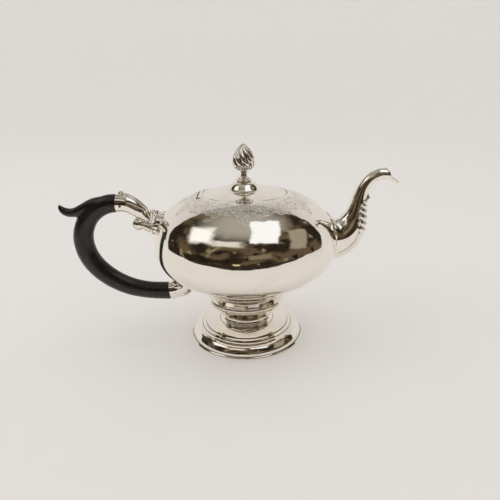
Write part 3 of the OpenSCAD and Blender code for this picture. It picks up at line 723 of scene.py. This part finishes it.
def root_leaves():
    """Leaf tips that spread from the spout's root on to the body."""
    oval_z = BELLY_Z + 2.5

    def place(u, v):
        a = 2 * math.pi * u
        tips = 0.5 + 0.5 * math.cos(9 * a)
        grow = (0.4 + 3.6 * tips ** 1.5) * (0.6 + 0.4 * math.sin(a))
        k = -2.5 + (grow + 2.5) * v
        y, z = (12.6 + k) * math.cos(a), oval_z + (17.1 + k) * math.sin(a)
        proud = 0.1 + 1.1 * math.sin(math.pi * min(1, 0.25 + 0.75 * v)) * (0.55 + 0.45 * tips)
        return side_out(y, z, proud if v < 0.99 else -0.2), y, z

    # marks: darker between the leaf tips, tarnish and painted shade
    obj = formed("spout_root_leaves", 216, 10, place,
                 marks=lambda u, v: 0.3 + 0.7 * (0.5 + 0.5 * math.cos(18 * math.pi * u)))
    keep(obj, "pot", chased_silver, "spout_flange")


root_leaves()


# ---- handle -----------------------------------------------------------------------
def grip():
    line = out_from_side([(26.2, 32, 7, 6.4), (33, 31.4, 7.1, 6.4), (41, 28.1, 7.2, 6.5),
                          (48, 21.9, 7.1, 6.5), (52.8, 13.9, 7.4, 6.5), (55, 4.5, 7.6, 6.5),
                          (53.8, -6, 7.7, 6.5), (49.4, -15.7, 7.7, 6.5), (42, -24.3, 7.6, 6.5),
                          (32.5, -31.3, 7.4, 6.4), (21, -36.5, 7.1, 6.4), (7, -39.4, 6.9, 6.3),
                          (-8.6, -40.1, 7.1, 6.3)], -1)
    obj = swept("grip_carved", line, count=32, steps=5)
    spur = out_from_side([(34, 33.9, 4, 4.4), (43.5, 31.8, 4.4, 5.2), (51, 28.5, 4.1, 4.8),
                          (57.5, 25.8, 3.6, 4.2), (62.5, 25.2, 3.3, 3.6), (66.6, 26.6, 2.9, 2.9),
                          (69, 29.3, 1.9, 1.9), (69.7, 31.4, 0.7, 0.8)], -1)
    thumb = swept("spur", spur, count=24, steps=5)
    finish_with(obj, "BOOLEAN", operation="UNION", object=thumb, solver="EXACT")
    bpy.data.objects.remove(thumb)
    finish_with(obj, "REMESH", mode="VOXEL", voxel_size=0.0008)
    finish_with(obj, "SMOOTH", factor=0.5, iterations=6)
    done(obj, 80)
    keep(obj, "pot", wood, "handle_grip")


grip()


def upper_fittings():
    line = out_from_side([(26.2, 32, 7, 6.4), (20, 31.6, 6.9, 6.5), (15.6, 29.7, 6.5, 6.3),
                          (11.4, 26.7, 6, 5.8), (8.2, 23.8, 5.2, 4.8), (5.4, 20.4, 3.2, 3.2),
                          (4, 17.3, 1.4, 1.5)], -1)
    obj = swept("upper_socket_cast", line, count=32, steps=6)
    ball = start(bpy.ops.mesh.primitive_uv_sphere_add, "ball", segments=40, ring_count=24,
                 radius=BALL_R * MM, location=BALL_AT)
    bpy.ops.object.transform_apply(location=True)
    bpy.ops.object.shade_smooth()
    join(obj, ball)
    keep(obj, "pot", cast_silver, "upper_socket")
    # long pointed leaf that lies along the socket's top
    path = smooth(line, 8)
    n = len(path) - 1

    def place(u, v):
        i = round(v * (n - 7)) + 6
        # rounded at the wood's end, then drawn in evenly to a point at the neck
        if v < 0.14:
            spread = 1.3 * math.sin(math.pi / 2 * min(1, 0.15 + v / 0.16))
        else:
            spread = 1.3 * (1.04 - v) ** 0.55
        phi = (u - 0.5) * 2 * spread
        off = abs(u - 0.5) * 2
        lift = 0.55 + 0.5 * abs(math.cos(math.pi * 1.5 * off)) ** 0.7 if off < 0.98 else -0.3
        return on_bar(path, i, phi, lift)

    # marks: darker in the leaf's flutes, tarnish and painted shade
    leaf = formed("upper_leaf", 60, n - 7, place, wall=0.5, angle=60,
                  marks=lambda u, v: 0.3 + 0.7 * abs(math.cos(3 * math.pi * (u - 0.5))) ** 0.5)
    keep(leaf, "pot", chased_silver)
    # small scroll on top of the leaf
    knob = start(bpy.ops.mesh.primitive_torus_add, "upper_scroll", major_radius=1.1 * MM,
                 minor_radius=0.75 * MM, major_segments=40, minor_segments=18,
                 location=(-91.2 * MM, 0, 117.1 * MM), rotation=(math.pi / 2, 0, 0))
    edit(knob)
    bpy.ops.transform.resize(value=(1.15, 2.2, 1))
    done(knob)
    keep(knob, "pot", cast_silver)
    # ringed neck between the ball and the fan
    neck = turned("upper_neck_turned", outline(
        [(0.01, 3), (3.2, 3)], [(3.2, 3), (2.9, 4.6), (2.9, 5)],
        [(2.9, 5), (3.8, 5.3), (4.2, 6), (3.8, 6.8), (3, 7.1)],
        [(3, 7.1), (3.6, 7.4)], [(3.6, 7.4), (4.4, 7.8), (4.6, 8.6), (4.2, 9.4), (3.4, 9.8)],
        [(3.4, 9.8), (3.4, 14)], [(3.4, 14), (0.01, 14)]), steps=64)
    neck.data.transform(Matrix.Translation(BALL_AT) @ Matrix.Rotation(math.radians(NECK_TILT), 4, "Y"))
    keep(neck, "pot", cast_silver, "upper_neck")

    def fan(u, v):
        a = 2 * math.pi * u
        up = (1 + math.sin(a)) / 2
        flute = abs(math.cos(6.5 * a)) ** 0.8
        rad = (7 + 5 * up) * (0.95 + 0.05 * flute) * v
        y, z = rad * math.cos(a), 91.2 + rad * math.sin(a)
        proud = 3.1 * (1 - v ** 2.2) ** 0.5 + 0.25 + 0.7 * flute * math.sin(math.pi * min(1, v * 1.02))
        if v > 0.985:
            proud = -0.3
        return -side_out(y, z, proud), y, z

    # marks: darker in the shell's flutes, tarnish and painted shade
    shell = formed("shell_plate_chased", 260, 20, fan, angle=60,
                   marks=lambda u, v: 0.12 + 0.88 * abs(math.cos(13 * math.pi * u)) ** 0.6)
    # fluted cup that opens upwards from the neck's end and leans on the body
    cup = smooth([(0.1, 0), (1.8, 0.3), (3.6, 2), (5, 4.6), (6.2, 7.4), (7.6, 9.9), (8.1, 11), (7.4, 11.3),
                  (5, 9.6), (0.1, 8.6)], 4)
    lean = math.radians(57)

    def tulip(u, v):
        r, t = cup[round(v * (len(cup) - 1))]
        a = 2 * math.pi * u
        flute = abs(math.cos(6 * a)) ** 0.7
        r *= 0.8 + 0.24 * flute
        t += 0.7 * flute * min(1, r / 6)
        side = r * math.cos(a)
        return (-70.2 + t * math.cos(lean) - side * math.sin(lean), r * math.sin(a),
                89.6 + t * math.sin(lean) + side * math.cos(lean))

    # marks: darker in the cup's flutes, tarnish and painted shade
    fluted = formed("fluted_cup", 240, len(cup) - 1, tulip, angle=60,
                    marks=lambda u, v: 0.12 + 0.88 * abs(math.cos(12 * math.pi * u)) ** 0.5)
    join(shell, fluted)
    keep(shell, "pot", chased_silver, "upper_shell_plate")


upper_fittings()


def lower_fittings():
    horn = -CUP_R - 7.2
    line = [(-60.4, 37.4, 7.1, 6.3), (-54.6, 38.5, 7, 6.2), (horn - 1, 41.8, 8, 5.8),
            (horn - 0.4, 47.5, 5.8, 5.2), (horn - 0.2, 54, 5, 4.8)]
    obj = swept("lower_socket_cast", line, count=32, steps=6)
    join(obj, swept("toe", [(-53, 40, 6.2, 5.6), (-48, 41.4, 5.7, 5.3), (-43.5, 42.4, 5.4, 5),
                            (-38.5, 43.2, 5.2, 4.8)]))
    keep(obj, "pot", cast_silver, "lower_socket")
    path = smooth(line, 8)
    n = len(path) - 1

    def place(u, v):
        i = round(v * (n - 8)) + 3
        spread = max(0.06, 1.5 * math.sin(math.pi * min(1, v * 0.85 + 0.08)) ** 0.8)
        phi = (u - 0.5) * 2 * spread
        rib = 0.3 * math.cos(2 * math.pi * 3 * (u - 0.5)) + 0.5 * math.exp(-((u - 0.5) / 0.07) ** 2)
        lift = 0.55 + rib * 0.8 if abs(u - 0.5) < 0.49 else -0.3
        return on_bar(path, i, phi, lift)

    # marks: darker in the leaf's grooves, tarnish and painted shade
    leaf = formed("lower_leaf", 44, n - 8, place, wall=0.5, angle=60,
                  marks=lambda u, v: 0.3 + 0.7 * (0.5 + 0.5 * math.cos(2 * math.pi * 3 * (u - 0.5))))
    keep(leaf, "pot", chased_silver)


lower_fittings()


# ---- studio ---------------------------------------------------------------------------
def studio():
    bowl_pts = smooth([(0.001, 0), (0.9, 0), (1.6, 0), (2.1, 0.1), (2.5, 0.45), (2.7, 1.0), (2.75, 1.8),
                       (2.75, 3.0)], 8)
    floor = start(bpy.ops.mesh.primitive_circle_add, "studio_floor", vertices=len(bowl_pts), radius=1)
    for v, (r, z) in zip(floor.data.vertices, bowl_pts):
        v.co = (r, 0, z)
    edit(floor)
    bpy.ops.mesh.select_all(action="DESELECT")
    bpy.ops.object.mode_set(mode="OBJECT")
    last = len(bowl_pts) - 1
    for e in floor.data.edges:
        e.select = set(e.vertices) == {0, last}
    bpy.ops.object.mode_set(mode="EDIT")
    bpy.ops.mesh.delete(type="EDGE")
    bpy.ops.mesh.select_all(action="SELECT")
    bpy.ops.mesh.spin(steps=96, angle=2 * math.pi, center=(0, 0, 0), axis=(0, 0, 1))
    bpy.ops.object.mode_set(mode="OBJECT")
    tidy(floor, 0.1)
    edit(floor)
    bpy.ops.mesh.flip_normals()
    bpy.ops.object.mode_set(mode="OBJECT")
    done(floor, 80)
    f = Finish("pale_paper", Roughness=0.6, Specular_IOR_Level=0.2, Emission_Strength=0.185)
    f.shader.inputs["Emission Color"].default_value = (1, 0.975, 0.95, 1)
    tone = f.noise(3, 2.0)
    paper = f.mix(tone, (0.825, 0.81, 0.795, 1), (0.845, 0.83, 0.815, 1))
    floor.data.materials.append(f.feed(Base_Color=paper))

    def glow(obj, colour, strength, soft=0):
        """A glowing thing of the room that only shows as a reflection; soft fades its edges."""
        obj.visible_camera = obj.visible_diffuse = obj.visible_shadow = False
        obj.visible_transmission = False
        f = Finish(obj.name + "_glow", Roughness=1.0, Specular_IOR_Level=0.0, Base_Color=(0, 0, 0, 1))
        f.shader.inputs["Emission Strength"].default_value = strength
        if isinstance(colour, tuple):
            f.shader.inputs["Emission Color"].default_value = colour
        else:
            f.feed(Emission_Color=colour(f))
        if soft:
            f.feed(Alpha=fade(f, soft))
        obj.data.materials.append(f.mat)

    def clutter(f):
        shapes = f.noise(1.1, 2.0, stretch=(1, 1, 1.7), roughness=0.5)
        things = f.noise(3.4, 2.0, stretch=(1, 1, 0.6), roughness=0.5)
        height = f.parts()[2] * 0.001
        dark = f.mix(shapes.ramp(0.44, 0.58), (0.024, 0.017, 0.011, 1), (0.115, 0.08, 0.046, 1))
        dark = f.mix(things.ramp(0.6, 0.66), dark, (0.24, 0.2, 0.13, 1))
        dark = f.mix((1 - things).ramp(0.58, 0.68), dark, (0.012, 0.01, 0.01, 1))
        return f.mix(height.ramp(1.15, 1.48), dark, (0.38, 0.36, 0.31, 1))

    def fade(f, soft):
        """Full in the middle of the patch, nothing at its edges."""
        n = f.node("ShaderNodeSeparateXYZ", {}, f.node("ShaderNodeTexCoord", {}, out="UV")).socket.node
        edge = [(Line(f, n.outputs[i]) - 0.5).abs() for i in (0, 1)]
        ragged = edge[0].at_least(edge[1]) + (f.noise(5, 2.0) - 0.5) * 0.2
        return 1 - ragged.ramp(0.44 - soft, 0.46)

    room = start(bpy.ops.mesh.primitive_uv_sphere_add, "dark_room", segments=64, ring_count=32, radius=1.5)
    edit(room)
    bpy.ops.mesh.bisect(plane_co=(0, 0, 0.0), plane_no=(0, 0, 1), clear_inner=True)
    bpy.ops.mesh.select_all(action="SELECT")
    bpy.ops.mesh.bisect(plane_co=(0, 0.3, 0), plane_no=(0, 0.94, -0.34), clear_outer=True)
    done(room)
    glow(room, clutter, 1.0)

    edge = start(bpy.ops.mesh.primitive_circle_add, "dark_beyond_table", vertices=64, radius=1.49,
                 fill_type="NGON", location=(0, 0, 0.003))
    edit(edge)
    bpy.ops.mesh.bisect(plane_co=(0, -0.42, 0), plane_no=(0, 1, 0), clear_outer=True)
    done(edge)
    glow(edge, (0.03, 0.022, 0.016, 1), 1.0)

    def card(name, corners, colour, strength, soft=0.12):
        """A bright patch of the room between four directions: degrees round from the front, and up."""
        way = []
        for turn, up in corners:
            t, e = math.radians(turn), math.radians(up)
            way.append(Vector((math.sin(t) * math.cos(e), -math.cos(t) * math.cos(e), math.sin(e))))
        obj = start(bpy.ops.mesh.primitive_grid_add, name, x_subdivisions=12, y_subdivisions=12, size=1)
        for v in obj.data.vertices:
            u, w = v.co.x + 0.5, v.co.y + 0.5
            top, low = way[0].lerp(way[1], u), way[3].lerp(way[2], u)
            v.co = low.lerp(top, w).normalized() * 1.42
        done(obj)
        glow(obj, colour, strength, soft)

    card("window_left", [(-112, 50), (-98, 74), (-38, 40), (-78, 24)], (1, 0.98, 0.94, 1), 1.05, 0.2)
    card("window_streak", [(-60, 48), (2, 57), (4, 37), (-48, 36)], (1, 0.95, 0.84, 1), 0.75, 0.25)
    card("window_high", [(172, 80), (128, 62), (46, 37), (4, 48)], (0.95, 0.96, 1, 1), 1.05, 0.06)
    card("shelf_right", [(88, 62), (108, 40), (76, 8), (50, 20)], (0.55, 0.48, 0.36, 1), 0.6)
    card("shelf_low", [(2, 22), (36, 24), (34, 12), (2, 12)], (0.42, 0.34, 0.24, 1), 0.5)
    card("doorway", [(-14, 4), (-4, 4), (-4, -4), (-14, -4)], (1, 0.82, 0.45, 1), 0.9)

    def lamp(name, where, size, power, colour, look=(0, 0, 0.08)):
        data = bpy.data.lights.new(name, "AREA")
        data.shape, data.size, data.size_y = "RECTANGLE", size[0], size[1]
        data.energy, data.color = power, colour
        obj = bpy.data.objects.new(name, data)
        obj.location = where
        obj.rotation_euler = (Vector(look) - Vector(where)).to_track_quat("-Z", "Y").to_euler()
        obj.visible_glossy = False
        bpy.context.scene.collection.objects.link(obj)

    lamp("soft_top", (0, 0.2, 2.2), (2.4, 2.0), 9.6, (1, 0.985, 0.96))
    lamp("soft_left", (-1.7, -0.3, 1.3), (1.2, 1.2), 3.8, (1, 0.98, 0.95))
    world = bpy.data.worlds.new("studio")
    world.use_nodes = True
    world.node_tree.nodes["Background"].inputs[0].default_value = (1, 0.985, 0.965, 1)
    world.node_tree.nodes["Background"].inputs[1].default_value = 0.32
    bpy.context.scene.world = world

    cam = bpy.data.cameras.new("camera")
    cam.lens, cam.sensor_width = 30.96, 36
    cam.clip_start = 0.01
    eye = bpy.data.objects.new("camera", cam)
    eye.matrix_world = (Matrix.Translation((0.0036, -0.3146, 0.1835))
                        @ Matrix.Rotation(math.radians(70.25), 4, "X")
                        @ Matrix.Rotation(math.radians(-0.95), 4, "Z"))
    bpy.context.scene.collection.objects.link(eye)
    bpy.context.scene.camera = eye
    bpy.context.scene.view_settings.view_transform = "Standard"


studio()
